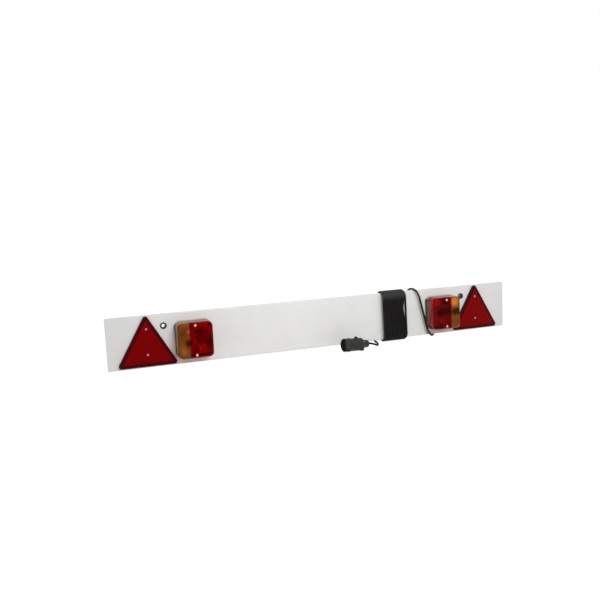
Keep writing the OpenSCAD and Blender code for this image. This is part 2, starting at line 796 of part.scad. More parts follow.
module clip_profile() {
    r = link_d / 2 + seat_play / 2;
    difference() {
        union() {
            translate([link_y, 0]) circle(r + clip_wall, $fn = small_fn);
            translate([0, -r - clip_wall]) square([link_y, 2 * (r + clip_wall)]);
            translate([0, -r - clip_foot]) square([clip_foot_t, clip_foot]);
        }
        translate([link_y, 0]) circle(r, $fn = small_fn);
        translate([-cut, -r]) square([link_y + cut, 2 * r]);
        translate([-far, -far / 2]) square([far, far]);
    }
}
module cable_clips() {
    color("#202020") for (x = clip_places) difference() {
        translate([x - clip_w / 2, 0, link_z]) rotate([90, 0, 90])
            linear_extrude(clip_w) clip_profile();
        on_back(x, link_z - clip_foot / 2 - link_d / 2) translate([0, 0, -cut])
            cylinder(h = far, r = clip_screw_r + screw_play, $fn = small_fn);
    }
}
module clip_screws() {
    color("silver") for (x = clip_places)
        on_back(x, link_z - clip_foot / 2 - link_d / 2) translate([0, 0, clip_foot_t])
            pan_screw(clip_screw_r, clip_screw_head_r, clip_screw_head_h,
                clip_screw_len + clip_foot_t - 1);
}

module cord_lead() {
    color("#1c1c1a") tube(concat([lead_start], lead_route, [lead_end]), lead_d, 10,
        [1, 0, 0], [0, 1, 0], [1, 0, 0]);
}
module wind_outline(r) {
    for (z = [bend_low_z, bend_high_z]) translate([mid_y, z]) circle(r, $fn = round_fn);
    translate([mid_y - r, bend_low_z]) square([2 * r, bend_high_z - bend_low_z]);
}
module cord_winding() {
    color("#1c1c1a") translate([wind_left, 0, 0]) rotate([90, 0, 90])
        linear_extrude(wind_right - wind_left) difference() {
            wind_outline(wind_r + lead_d / 2);
            wind_outline(wind_r - lead_d / 2);
        }
}
module cord_tail() {
    axis = turned([0, 0, 1], plug_yaw, 90 + plug_dip);
    color("#1c1c1a") tube(concat([tail_start], tail_route, [on_plug([0, 0, plug_end])]),
        lead_d, 10, [0, 1, 0], [1, 0, 0], axis);
}

// The plug's own z runs from its mating rim to its cable end
module on_plug_axis() {
    translate(plug_at) rotate([0, 90 + plug_dip, plug_yaw]) children();
}
module plug_body() {
    color("#26261f") on_plug_axis() difference() {
        union() {
            cylinder(h = skirt_len + cut, r = skirt_r, $fn = round_fn);
            translate([0, 0, skirt_len]) cylinder(h = band_len, r = band_r, $fn = round_fn);
            translate([0, 0, skirt_len + cut])
                cylinder(h = barrel_len - cut, r = barrel_r, $fn = round_fn);
            plug_catch();
        }
        translate([0, 0, -cut])
            cylinder(h = insert_depth + insert_len + cut, r = bore_r, $fn = round_fn);
        translate([0, 0, insert_depth]) cylinder(h = far, r = cavity_r, $fn = round_fn);
        rotate(-40) translate([0, -keyway_w / 2, -cut])
            cube([far, keyway_w, skirt_len - band_len + cut]);
        for (k = [0 : grooves - 1]) rotate((k + 0.5) * 360 / grooves)
            translate([barrel_r + groove_r - groove_depth, 0, skirt_len + 2 * band_len])
                cylinder(h = barrel_len - 4 * band_len, r = groove_r, $fn = small_fn);
        cover_bolts(cover_bolt_r + screw_play, barrel_end - cover_bolt_grip - cut, far);
    }
}
// The catch for the socket's lid, a ramp on top of the barrel
module plug_catch() {
    rise = 6;
    w = 6;
    translate([-barrel_r + cut, w / 2, skirt_len + 21]) rotate([90, 0, 0]) linear_extrude(w)
        polygon([[0, -2], [0, 12], [-rise, 5], [-rise, 3]]);
}
module cover_bolts(r, from, length) {
    for (turn = [0, 120, 240]) rotate(turn) translate([cover_bolt_circle, 0, from])
        cylinder(h = length, r = r, $fn = small_fn);
}
module plug_insert() {
    color("#3a3a36") on_plug_axis() difference() {
        translate([0, 0, insert_depth])
            cylinder(h = insert_len, r = bore_r - seat_play, $fn = round_fn);
        pin_places() translate([0, 0, insert_depth - cut])
            cylinder(h = far, r = pin_r + seat_play, $fn = small_fn);
    }
}
module pin_places() {
    children();
    for (k = [0 : 5]) rotate(60 * k + 30) translate([pin_circle_r, 0, 0]) children();
}
pin_past = 1.5;
pin_wall = 0.9;
pin_bore = 7;
module plug_pins() {
    color("gold") on_plug_axis() pin_places() translate([0, 0, insert_depth - pin_past])
        difference() {
            cylinder(h = insert_len + 3 * pin_past, r = pin_r, $fn = small_fn);
            translate([0, 0, -cut])
                cylinder(h = pin_bore + cut, r = pin_r - pin_wall, $fn = small_fn);
        }
}
// The rear cover in section: flange, taper and neck, hollow, with a seat for the cable nut
module cover_profile() {
    entry_r = lead_d / 2 + seat_play / 2;
    spigot_seat_r = spigot_r + seat_play;
    shoulder = cover_len - spigot_len;
    polygon([
        [cavity_r, 0], [barrel_r, 0], [barrel_r, cover_flange],
        [barrel_r - 1.5, cover_flange], [neck_r, shoulder], [neck_r, cover_len],
        [spigot_seat_r, cover_len], [spigot_seat_r, shoulder], [entry_r, shoulder],
        [entry_r, shoulder - 1.5],
    ]);
}
module plug_cover() {
    color("#2a2a24") on_plug_axis() difference() {
        union() {
            translate([0, 0, barrel_end]) rotate_extrude($fn = round_fn) cover_profile();
            rotate(cover_foot_turn) translate([cavity_r + 1, -cover_foot_w / 2, barrel_end])
                cube([cover_foot_r - cavity_r - 1, cover_foot_w, cover_foot_len]);
        }
        cover_bolts(cover_bolt_r + screw_play, barrel_end - cut, cover_flange + 2 * cut);
        cover_bolts(cover_head_r + 2 * screw_play, barrel_end + cover_flange, far);
    }
}
module plug_cover_screws() {
    color("silver") on_plug_axis() for (turn = [0, 120, 240]) rotate(turn)
        translate([cover_bolt_circle, 0, barrel_end + cover_flange])
            pan_screw(cover_bolt_r, cover_head_r, 1.6, cover_flange + cover_bolt_grip);
}
module plug_cable_nut() {
    color("#30302a") on_plug_axis() difference() {
        union() {
            translate([0, 0, cover_end - spigot_len + seat_play])
                cylinder(h = spigot_len + cut, r = spigot_r, $fn = small_fn);
            translate([0, 0, cover_end])
                cylinder(h = nut_len - nut_taper, r = gland_nut_r, $fn = 12);
            translate([0, 0, plug_end - nut_taper])
                cylinder(h = nut_taper, r1 = gland_nut_r - 1, r2 = lead_d / 2 + 2.5,
                    $fn = small_fn);
        }
        cylinder(h = plug_end - nut_cap, r = lead_d / 2 + seat_play / 2, $fn = small_fn);
    }
}

board();
hang_grommet(left);  // hang_grommet_left
hang_grommet(right);  // hang_grommet_right
triangle_tray(left);  // triangle_tray_left
triangle_reflector(left);  // triangle_reflector_left
triangle_screws(left);  // triangle_screws_left
triangle_nuts(left);  // triangle_nuts_left
triangle_tray(right);  // triangle_tray_right
triangle_reflector(right);  // triangle_reflector_right
triangle_screws(right);  // triangle_screws_right
triangle_nuts(right);  // triangle_nuts_right
lamp_base(left);  // lamp_base_left
lamp_seal(left);  // lamp_seal_left
lamp_red_lens(left);  // lamp_red_lens_left
lamp_amber_lens(left);  // lamp_amber_lens_left
lamp_window(left);  // lamp_window_left
lamp_bulb_plate(left);  // lamp_bulb_plate_left
lamp_stop_bulb(left);  // lamp_stop_bulb_left
lamp_indicator_bulb(left);  // lamp_indicator_bulb_left
lamp_holders(left);  // lamp_holders_left
lamp_lens_screws(left);  // lamp_lens_screws_left
lamp_bolts(left);  // lamp_bolts_left
lamp_nuts(left);  // lamp_nuts_left
lamp_cable_bush(left);  // lamp_cable_bush_left
lamp_base(right);  // lamp_base_right
lamp_seal(right);  // lamp_seal_right
lamp_red_lens(right);  // lamp_red_lens_right
lamp_amber_lens(right);  // lamp_amber_lens_right
lamp_window(right);  // lamp_window_right
lamp_bulb_plate(right);  // lamp_bulb_plate_right
lamp_stop_bulb(right);  // lamp_stop_bulb_right
lamp_indicator_bulb(right);  // lamp_indicator_bulb_right
lamp_holders(right);  // lamp_holders_right
lamp_lens_screws(right);  // lamp_lens_screws_right
lamp_bolts(right);  // lamp_bolts_right
lamp_nuts(right);  // lamp_nuts_right
lamp_cable_bush(right);  // lamp_cable_bush_right
lead_bush();
link_cable();
cable_clips();
clip_screws();
cord_lead();
cord_winding();
cord_tail();
plug_body();
plug_insert();
plug_pins();
plug_cover();
plug_cover_screws();
plug_cable_nut();
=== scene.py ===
"""The looks of a trailer lighting board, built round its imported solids.

Lengths in the dataclasses are millimetres, in the row's frame: the origin lies on the
board's back face, midway between the hang holes, +X runs to the board's right end as seen
from behind the vehicle, -Y leaves the front and +Z is up. Blender's own units are metres.
"""

import logging
import math
from collections.abc import Callable
from dataclasses import dataclass, replace
from enum import Enum

import bmesh
import bpy
from mathutils import Matrix, Vector


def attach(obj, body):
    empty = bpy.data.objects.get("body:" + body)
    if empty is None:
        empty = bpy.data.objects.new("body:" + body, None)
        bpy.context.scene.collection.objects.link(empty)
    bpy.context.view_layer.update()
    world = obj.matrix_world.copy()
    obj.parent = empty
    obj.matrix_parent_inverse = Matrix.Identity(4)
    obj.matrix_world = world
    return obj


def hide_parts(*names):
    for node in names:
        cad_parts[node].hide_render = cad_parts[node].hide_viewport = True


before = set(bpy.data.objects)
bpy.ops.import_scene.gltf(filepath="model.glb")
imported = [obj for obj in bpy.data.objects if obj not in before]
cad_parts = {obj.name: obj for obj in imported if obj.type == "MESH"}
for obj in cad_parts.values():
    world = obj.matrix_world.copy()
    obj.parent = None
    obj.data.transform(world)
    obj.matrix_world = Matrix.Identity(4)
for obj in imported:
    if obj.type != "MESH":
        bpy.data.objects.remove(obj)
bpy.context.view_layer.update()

MM = 0.001
BODY = "root"
LOG = logging.getLogger("lighting_board")

Point = tuple[float, float, float]
Colour = tuple[float, float, float, float]
Socket = bpy.types.NodeSocket
Tree = bpy.types.NodeTree


class Side(Enum):
    """The two ends of the board, as seen from the front."""

    LEFT = "left"
    RIGHT = "right"

    @property
    def sign(self) -> int:
        """The sign of x at this end."""
        return -1 if self is Side.LEFT else 1


def linear(colour: str) -> Colour:
    """Turns a hex sRGB colour into linear light.

    Args:
        colour: A colour such as "#a0b0c0".

    Returns:
        Red, green, blue and an alpha of 1, each from 0 to 1.
    """
    shares = [int(colour[i : i + 2], 16) / 255 for i in (1, 3, 5)]
    levels = [s / 12.92 if s <= 0.04045 else ((s + 0.055) / 1.055) ** 2.4 for s in shares]
    return (*levels, 1.0)


def add_node(
    tree: Tree, kind: str, inputs: dict[str | int, object] | None = None, **settings: object
) -> bpy.types.Node:
    """Adds one node with its settings, its values and its links.

    Args:
        tree: The node tree that takes the node.
        kind: The node's type after "ShaderNode", such as "Math".
        inputs: Input names or numbers, each with a value or with the output to link.
        settings: Properties of the node itself.

    Returns:
        The new node.
    """
    node = tree.nodes.new("ShaderNode" + kind)
    for name, value in settings.items():
        setattr(node, name, value)
    for name, value in (inputs or {}).items():
        if isinstance(value, Socket):
            tree.links.new(value, node.inputs[name])
        else:
            node.inputs[name].default_value = value
    return node


def patches(tree: Tree, place: Socket, size: float, low: float, high: float) -> Socket:
    """Spreads a value between two limits in soft patches.

    Args:
        tree: The material's nodes.
        place: Coordinates in millimetres.
        size: The size of a patch in millimetres.
        low: The value where the noise is weak.
        high: The value where the noise is strong.

    Returns:
        The output that carries the value.
    """
    noise = add_node(tree, "TexNoise", {"Vector": place, "Scale": 1 / size, "Detail": 3.0})
    limits = {"From Min": 0.3, "From Max": 0.7, "To Min": low, "To Max": high}
    return add_node(tree, "MapRange", {"Value": noise.outputs["Fac"], **limits}).outputs[0]


def mixed(tree: Tree, share: Socket, first: str | Socket, second: str) -> Socket:
    """Lays a hex colour over another colour.

    Args:
        tree: The material's nodes.
        share: The share of the second colour.
        first: The colour at a share of 0, in hex or from a node.
        second: The hex colour at a share of 1.

    Returns:
        The output that carries the colour.
    """
    below = linear(first) if isinstance(first, str) else first
    inputs = {0: share, 6: below, 7: linear(second)}
    return add_node(tree, "Mix", inputs, data_type="RGBA").outputs[2]


def beyond(tree: Tree, place: Socket, axis: int, limit: float, side: str) -> Socket:
    """Tells on which side of a plane a place lies.

    Args:
        tree: The material's nodes.
        place: Coordinates in millimetres.
        axis: The plane's axis, 0 for x to 2 for z.
        limit: Where the plane cuts that axis.
        side: LESS_THAN or GREATER_THAN, for the side that counts.

    Returns:
        The output that carries 1 on that side and 0 on the other.
    """
    along = add_node(tree, "SeparateXYZ", {0: place}).outputs[axis]
    return add_node(tree, "Math", {0: along, 1: limit}, operation=side).outputs[0]


@dataclass(frozen=True)
class Finish:
    """A solid finish: what it is made of, its colours and how its surface was made.

    The surface has soft patches of a second colour and of gloss, and a fine grain, which is
    drawn coarser than a mould's real texture so that it shows at all.
    """

    name: str
    colour: str
    shade: str
    roughness: float
    uneven: float = 0.06
    patch: float = 18.0
    grain: float = 0.6
    grain_depth: float = 0.01
    ior: float = 1.5
    specular: float = 0.5
    tint: str = "#ffffff"
    metallic: float = 0.0

    def material(self) -> bpy.types.Material:
        """Makes the material.

        Returns:
            The new material.
        """
        made = bpy.data.materials.new(self.name)
        made.use_nodes = True
        made.diffuse_color = linear(self.colour)
        tree = made.node_tree
        tree.nodes.clear()
        metres = add_node(tree, "TexCoord").outputs["Object"]
        scale = {0: metres, 1: (1 / MM, 1 / MM, 1 / MM)}
        place = add_node(tree, "VectorMath", scale, operation="MULTIPLY").outputs[0]
        add_node(tree, "OutputMaterial", {"Surface": self.surface(tree, place)})
        return made

    def surface(self, tree: Tree, place: Socket) -> Socket:
        """Builds the shader.

        Args:
            tree: The material's nodes.
            place: Coordinates in millimetres.

        Returns:
            The shader's output.
        """
        gloss = (self.roughness - self.uneven, self.roughness + self.uneven)
        inputs = {
            "Base Color": self.tone(tree, place),
            "Roughness": patches(tree, place, self.patch / 2, *gloss),
            "Metallic": self.metallic,
            "IOR": self.ior,
            "Specular IOR Level": self.specular,
            "Specular Tint": linear(self.tint),
            "Normal": self.grain_normal(tree, place),
        }
        return add_node(tree, "BsdfPrincipled", inputs).outputs[0]

    def tone(self, tree: Tree, place: Socket) -> Socket:
        """Mixes the two colours in soft patches.

        Args:
            tree: The material's nodes.
            place: Coordinates in millimetres.

        Returns:
            The output that carries the colour.
        """
        return mixed(tree, patches(tree, place, self.patch, 0, 1), self.colour, self.shade)

    def grain_normal(self, tree: Tree, place: Socket) -> Socket:
        """Raises the surface's fine grain.

        Args:
            tree: The material's nodes.
            place: Coordinates in millimetres.

        Returns:
            The output that carries the normal.
        """
        noise = add_node(tree, "TexNoise", {"Vector": place, "Scale": 1 / self.grain})
        inputs = {"Height": noise.outputs["Fac"], "Distance": self.grain_depth * MM}
        return add_node(tree, "Bump", inputs).outputs[0]


@dataclass(frozen=True)
class ExtrudedFinish(Finish):
    """An extruded profile: faint die lines run along x and cross the whole height.

    Real die lines are finer than 1 mm. They are drawn coarser here, so that they show.
    """

    line: float = 2.2
    line_depth: float = 0.03
    stretch: float = 0.002

    def grain_normal(self, tree: Tree, place: Socket) -> Socket:
        """Raises the die lines, which are long along x and narrow across it.

        Args:
            tree: The material's nodes.
            place: Coordinates in millimetres.

        Returns:
            The output that carries the normal.
        """
        scale = {0: place, 1: (self.stretch, 1.0, 1.0)}
        along = add_node(tree, "VectorMath", scale, operation="MULTIPLY").outputs[0]
        lines = add_node(tree, "TexNoise", {"Vector": along, "Scale": 1 / self.line})
        inputs = {"Height": lines.outputs["Fac"], "Distance": self.line_depth * MM}
        return add_node(tree, "Bump", inputs).outputs[0]


@dataclass(frozen=True)
class PrismFinish(Finish):
    """A retroreflector's lens: corner-cube prisms seen through a polished red face.

    The lower band round the prisms' field has none, and the black tray darkens it.
    """

    pitch: float = 3.2
    prism_depth: float = 0.9
    coat: float = 0.05
    coat_roughness: float = 0.05
    coat_ior: float = 1.35
    band: str = "#500509"
    field_y: float = -17.2

    def surface(self, tree: Tree, place: Socket) -> Socket:
        """Builds the shader: prisms below, with a smooth clear coat over them.

        Args:
            tree: The material's nodes.
            place: Coordinates in millimetres.

        Returns:
            The shader's output.
        """
        heights = []
        across = add_node(tree, "SeparateXYZ", {0: place})
        for turn in (0, 60, 120):
            c, s = math.cos(math.radians(turn)), math.sin(math.radians(turn))
            along_x = add_node(tree, "Math", {0: across.outputs[0], 1: c}, operation="MULTIPLY")
            inputs = {0: across.outputs[2], 1: s, 2: along_x.outputs[0]}
            along = add_node(tree, "Math", inputs, operation="MULTIPLY_ADD").outputs[0]
            wave = add_node(tree, "Math", {0: along, 1: self.pitch / 2}, operation="PINGPONG")
            heights.append(wave.outputs[0])
        low = add_node(tree, "Math", {0: heights[0], 1: heights[1]}, operation="MINIMUM")
        cube = add_node(tree, "Math", {0: low.outputs[0], 1: heights[2]}, operation="MINIMUM")
        limits = {"From Min": 0.0, "From Max": self.pitch / 2, "To Min": 0.0, "To Max": 1.0}
        height = add_node(tree, "MapRange", {"Value": cube.outputs[0], **limits}).outputs[0]
        bump = {"Height": height, "Distance": self.prism_depth * MM}
        cubes = mixed(tree, height, self.shade, self.colour)
        plain = beyond(tree, place, 1, self.field_y, "GREATER_THAN")
        inputs = {
            "Base Color": mixed(tree, plain, cubes, self.band),
            "Roughness": self.roughness,
            "IOR": self.ior,
            "Specular IOR Level": self.specular,
            "Specular Tint": linear(self.tint),
            "Coat Weight": self.coat,
            "Coat Roughness": self.coat_roughness,
            "Coat IOR": self.coat_ior,
            "Normal": add_node(tree, "Bump", bump).outputs[0],
        }
        return add_node(tree, "BsdfPrincipled", inputs).outputs[0]


@dataclass(frozen=True)
class PaintedTopLightFinish(Finish):
    """A soft plastic with painted light: paler where it bends over the board's top edge, lit from
    above.
    """

    painted_top_light: str = "#3b3b3a"
    painted_light_z: tuple[float, float] = (8.0, 24.0)

    def tone(self, tree: Tree, place: Socket) -> Socket:
        """Mixes the plastic's tones, and the painted top light towards the top.

        Args:
            tree: The material's nodes.
            place: Coordinates in millimetres.

        Returns:
            The output that carries the colour.
        """
        plastic = super().tone(tree, place)
        # painted light: the tone turns paler with height, where light from above falls on the top
        # bends
        height = add_node(tree, "SeparateXYZ", {0: place}).outputs[2]
        span = {0: height, 1: self.painted_light_z[0], 2: self.painted_light_z[1], 3: 0.0, 4: 1.0}
        share = add_node(tree, "MapRange", span).outputs[0]
        return mixed(tree, share, plastic, self.painted_top_light)


@dataclass(frozen=True)
class LinedFinish(Finish):
    """A lamp base's plastic, with a pale lacquer inside the lamp that throws the light out.

    Each span is the middle and half the width of the lacquer, without the sign, so that one
    finish serves both lamps.
    """

    lining: str = "#b4b3af"
    span_x: tuple[float, float] = (381.0, 46.4)
    span_z: tuple[float, float] = (41.0, 47.4)
    floor_y: float = -12.1

    def tone(self, tree: Tree, place: Socket) -> Socket:
        """Mixes the plastic's tones, and the lacquer inside the lamp.

        Args:
            tree: The material's nodes.
            place: Coordinates in millimetres.

        Returns:
            The output that carries the colour.
        """
        plastic = super().tone(tree, place)
        axes = add_node(tree, "SeparateXYZ", {0: place}).outputs
        inside = beyond(tree, place, 1, self.floor_y, "LESS_THAN")
        for along, centre, half in ((axes[0], *self.span_x), (axes[2], *self.span_z)):
            away = add_node(tree, "Math", {0: along}, operation="ABSOLUTE").outputs[0]
            inputs = {0: away, 1: centre, 2: half}
            near = add_node(tree, "Math", inputs, operation="COMPARE").outputs[0]
            inside = add_node(tree, "Math", {0: inside, 1: near}, operation="MULTIPLY").outputs[0]
        return mixed(tree, inside, plastic, self.lining)


@dataclass(frozen=True)
class PaintedSpot:
    """A soft round spot of painted shade in a tint, deeper than the rest, or of painted light,
    paler, where its share is negative.
    """

    x: float
    z: float
    reach: float
    share: float

    def added(self, tree: Tree, place: Socket, share: Socket) -> Socket:
        """Adds the spot to a share of the deeper colour.

        Args:
            tree: The material's nodes.
            place: Coordinates in millimetres.
            share: The share without the spot.

        Returns:
            The share with it.
        """
        level = {0: place, 1: (1, 0, 1)}
        flat = add_node(tree, "VectorMath", level, operation="MULTIPLY").outputs[0]
        inputs = {0: flat, 1: (self.x, 0, self.z)}
        away = add_node(tree, "VectorMath", inputs, operation="DISTANCE").outputs["Value"]
        limits = {"From Min": 0.0, "From Max": self.reach, "To Min": self.share, "To Max": 0.0}
        fade = add_node(
            tree, "MapRange", {"Value": away, **limits}, interpolation_type="SMOOTHSTEP"
        )
        return add_node(tree, "Math", {0: share, 1: fade.outputs[0]}, operation="ADD").outputs[0]


@dataclass(frozen=True)
class ClearFinish(Finish):
    """A transparent plastic or glass, tinted, which lets the lamps' light through."""

    lit: str = "#ffffff"
    depth: tuple[float, float] = (0.0, 1.0)
    passing: float = 1.0
    painted_spots: tuple[PaintedSpot, ...] = ()
    clear: str = "#9c8a78"
    clear_x: float | None = None

    def tone(self, tree: Tree, place: Socket) -> Socket:
        """Mixes the tints in patches and in spots of painted shade and light, and turns them clear
        to the left of clear_x.

        Args:
            tree: The material's nodes.
            place: Coordinates in millimetres.

        Returns:
            The output that carries the colour.
        """
        share = patches(tree, place, self.patch, *self.depth)
        for spot in self.painted_spots:
            share = spot.added(tree, place, share)
        tinted = mixed(tree, share, self.colour, self.shade)
        if self.clear_x is None:
            return tinted
        clear = beyond(tree, place, 0, self.clear_x, "LESS_THAN")
        return mixed(tree, clear, tinted, self.clear)

    def surface(self, tree: Tree, place: Socket) -> Socket:
        """Builds the shader: refracting for the eye, plain tinted for light rays.

        Args:
            tree: The material's nodes.
            place: Coordinates in millimetres.

        Returns:
            The shader's output.
        """
        gloss = (max(self.roughness - self.uneven, 0.0), self.roughness + self.uneven)
        inputs = {
            "Base Color": self.tone(tree, place),
            "Roughness": patches(tree, place, self.patch / 2, *gloss),
            "IOR": self.ior,
            "Specular IOR Level": self.specular,
            "Specular Tint": linear(self.tint),
            "Transmission Weight": self.passing,
            "Normal": self.grain_normal(tree, place),
        }
        glass = add_node(tree, "BsdfPrincipled", inputs).outputs[0]
        through = add_node(tree, "BsdfTransparent", {"Color": linear(self.lit)}).outputs[0]
        shadow = add_node(tree, "LightPath").outputs["Is Shadow Ray"]
        return add_node(tree, "MixShader", {0: shadow, 1: glass, 2: through}).outputs[0]


# PVC-U, extruded: a satin white with faint lines along the plank
PLANK_PVC = ExtrudedFinish(
    "extruded white PVC", "#e6e5e3", "#e1e1df", 0.36, uneven=0.05, patch=60, ior=1.53
)
# Nylon, moulded: a dull dark grey ring
GROMMET_NYLON = Finish(
    "moulded dark nylon", "#3c3b39", "#454441", 0.5, specular=0.2, patch=6
)
# ABS, moulded against a fine spark-eroded die: a matt black dish
TRAY_ABS = Finish(
    "moulded black ABS", "#15100f", "#1c1716", 0.5, specular=0.12, patch=12
)
# Acrylic, moulded with corner cubes behind a polished face: deep red with dark facets
REFLECTOR_ACRYLIC = PrismFinish(
    "prismatic red acrylic", "#b80104", "#700103", 0.2, ior=1.49, specular=0.03, tint="#892727"
)
# Steel, zinc plated and passivated: a dull grey, with a painted pink reflection of the red
# triangle round it
PASSIVATED_STEEL_PAINTED_RED = Finish(
    "passivated steel, red reflection painted", "#b48484", "#966464", 0.35, patch=2, grain=0.3, metallic=1.0
)
# Steel, nickel plated: the lens screws, bright, with a painted reflection of the lens's red in
# them
NICKEL_PAINTED_RED = Finish(
    "nickel plated steel", "#eaa49e", "#d48a84", 0.25, patch=2, grain=0.3, metallic=1.0
)
# Steel, zinc plated: a bright, slightly blue grey
PLATED_STEEL = Finish(
    "zinc plated steel", "#d8d4d2", "#bdbab8", 0.3, patch=3, grain=0.3, metallic=1.0
)
# ABS, moulded in a polished die: the lamps' black bases, bright where seen aslant
BASE_ABS = LinedFinish("glossy black ABS", "#1c1817", "#241f1e", 0.1, patch=14)
# Closed-cell rubber, die cut: a dull grey line round the lens
SEAL_FOAM = Finish("grey rubber foam", "#77706c", "#8a827e", 0.6, specular=0.3, patch=5)
# Acrylic, moulded: the stop lamp's red lens, blurred by the fine prisms inside it
RED_ACRYLIC = ClearFinish(
    "red acrylic", "#e80610", "#500002", 0.18, uneven=0.03, patch=25, ior=1.49,
    tint="#892727", lit="#d42426", depth=(0.35, 0.5),
)
# Acrylic, moulded: the indicator's amber lens, blurred by the fine prisms inside it
AMBER_ACRYLIC = ClearFinish(
    "amber acrylic", "#ffac50", "#501a02", 0.2, uneven=0.03, patch=25, ior=1.49,
    tint="#a06030", lit="#f0b068", depth=(0.62, 0.77), passing=0.65,
)
# Acrylic, moulded: the number plate light's clear window
CLEAR_ACRYLIC = ClearFinish(
    "clear acrylic", "#b8a48c", "#a8947c", 0.12, uneven=0.04, patch=20, ior=1.49,
    lit="#f4f0e8",
)
# Painted shade in each lamp's lens tints and, with a negative share, painted light, one spot of it
# a glint: where the inside shows dark or bright
RED_PAINTED_SPOTS = {
    Side.LEFT: (
        PaintedSpot(-398, -47, 16, 0.5), PaintedSpot(-363, -22, 22, 0.45), PaintedSpot(-346, -48, 26, 0.5),
        PaintedSpot(-368, -62, 20, -0.5), PaintedSpot(-346, -10, 10, -0.4),
    ),
    Side.RIGHT: (
        PaintedSpot(342, -8, 28, -0.6), PaintedSpot(356, -37, 17, 0.6), PaintedSpot(374, -36, 20, 0.7),
        PaintedSpot(392, -34, 20, 0.5), PaintedSpot(378, -8, 22, 0.6),
    ),
}
AMBER_PAINTED_SPOTS = {
    Side.LEFT: (
        PaintedSpot(-414, -24, 34, 0.1), PaintedSpot(-399, -47, 16, 0.5), PaintedSpot(-414, -68, 15, -0.2),
        PaintedSpot(-401, -17, 7, -0.5),
    ),
    Side.RIGHT: (
        PaintedSpot(408, -8, 22, -0.9), PaintedSpot(409, -38, 15, 0.7), PaintedSpot(423, -38, 15, 0.6),
        PaintedSpot(414, -66, 20, 0.05),
    ),
}
# Steel, white enamelled: the reflector behind the bulbs
PLATE_ENAMEL = Finish(
    "white enamelled steel", "#d4d3cf", "#c6c5c0", 0.4, patch=15, specular=0.35
)
# Soda-lime glass, blown: the bulbs
BULB_GLASS = ClearFinish(
    "blown glass", "#f4f6f4", "#eef0ee", 0.02, uneven=0.02, patch=20, ior=1.45, lit="#fafafa"
)
# Tungsten, drawn and coiled: the filaments, a dark silver
TUNGSTEN = Finish("drawn tungsten", "#8c8a86", "#74726e", 0.35, patch=2, metallic=1.0)
# Brass, turned: the plug's pins, with the skirt's shade painted on as a dark grey
BRASS_PAINTED_SHADE = Finish("brass with painted shade", "#5e5a50", "#48453e", 0.4, patch=2, grain=0.3, metallic=1.0)
# Brass, drawn: the bulb holders and caps
DRAWN_BRASS = Finish(
    "drawn brass", "#c8a050", "#a88238", 0.32, patch=4, grain=0.3, metallic=1.0
)
# Rubber, moulded: the cable bushes
BUSH_RUBBER = Finish("moulded rubber", "#161616", "#1f1e1d", 0.6, specular=0.2, patch=6)
# Soft PVC, extruded over the cores: a satin black lead, with painted light making it paler at the
# board's top edge
LEAD_PVC = PaintedTopLightFinish(
    "soft black PVC", "#131211", "#191817", 0.5, specular=0.1, patch=20, grain=0.5
)
# Nylon, moulded: the cable clips
CLIP_NYLON = Finish("moulded black nylon", "#202020", "#292827", 0.5, specular=0.25, patch=5)
# Glass-filled nylon, moulded: the plug, a dark olive grey with a dull bloom
PLUG_NYLON = Finish(
    "glass-filled nylon", "#242320", "#302f2c", 0.45, specular=0.2, patch=9, grain_depth=0.02
)
# Phenolic plastic, moulded: the plug's insert
INSERT_PLASTIC = Finish("moulded phenolic", "#2c2c28", "#383833", 0.5, specular=0.25, patch=6)


def dress(finish: Finish, *nodes: str) -> None:
    """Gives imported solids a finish.

    Args:
        finish: The finish.
        nodes: The names of the solids that wear it.
    """
    material = finish.material()
    for name in nodes:
        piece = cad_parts[name]
        piece.data.materials.clear()
        piece.data.materials.append(material)
        LOG.info("%s: %s", name, finish.name)


@dataclass
class Viewpoint:
    """The photograph's camera."""

    place: Point = (-717.89, -1827.26, 281.12)
    azimuth: float = -19.63
    elevation: float = 7.29
    roll: float = -2.75
    lens: float = 41.19
    sensor: float = 36.0
    far: float = 50000.0

    def build(self) -> None:
        """Makes the camera and looks through it."""
        az, el, roll = (math.radians(a) for a in (self.azimuth, self.elevation, self.roll))
        ahead = Vector(
            (-math.sin(az) * math.cos(el), math.cos(az) * math.cos(el), -math.sin(el))
        )
        right = Vector((math.cos(az), math.sin(az), 0))
        up = right.cross(ahead)
        across = math.cos(roll) * right + math.sin(roll) * up
        upright = -math.sin(roll) * right + math.cos(roll) * up
        data = bpy.data.cameras.new("viewpoint")
        data.lens = self.lens
        data.sensor_width = self.sensor
        data.clip_end = self.far * MM
        camera = bpy.data.objects.new("viewpoint", data)
        turn = Matrix((across, upright, -ahead)).transposed().to_4x4()
        camera.matrix_world = Matrix.Translation(Vector(self.place) * MM) @ turn
        bpy.context.scene.collection.objects.link(camera)
        bpy.context.scene.camera = camera


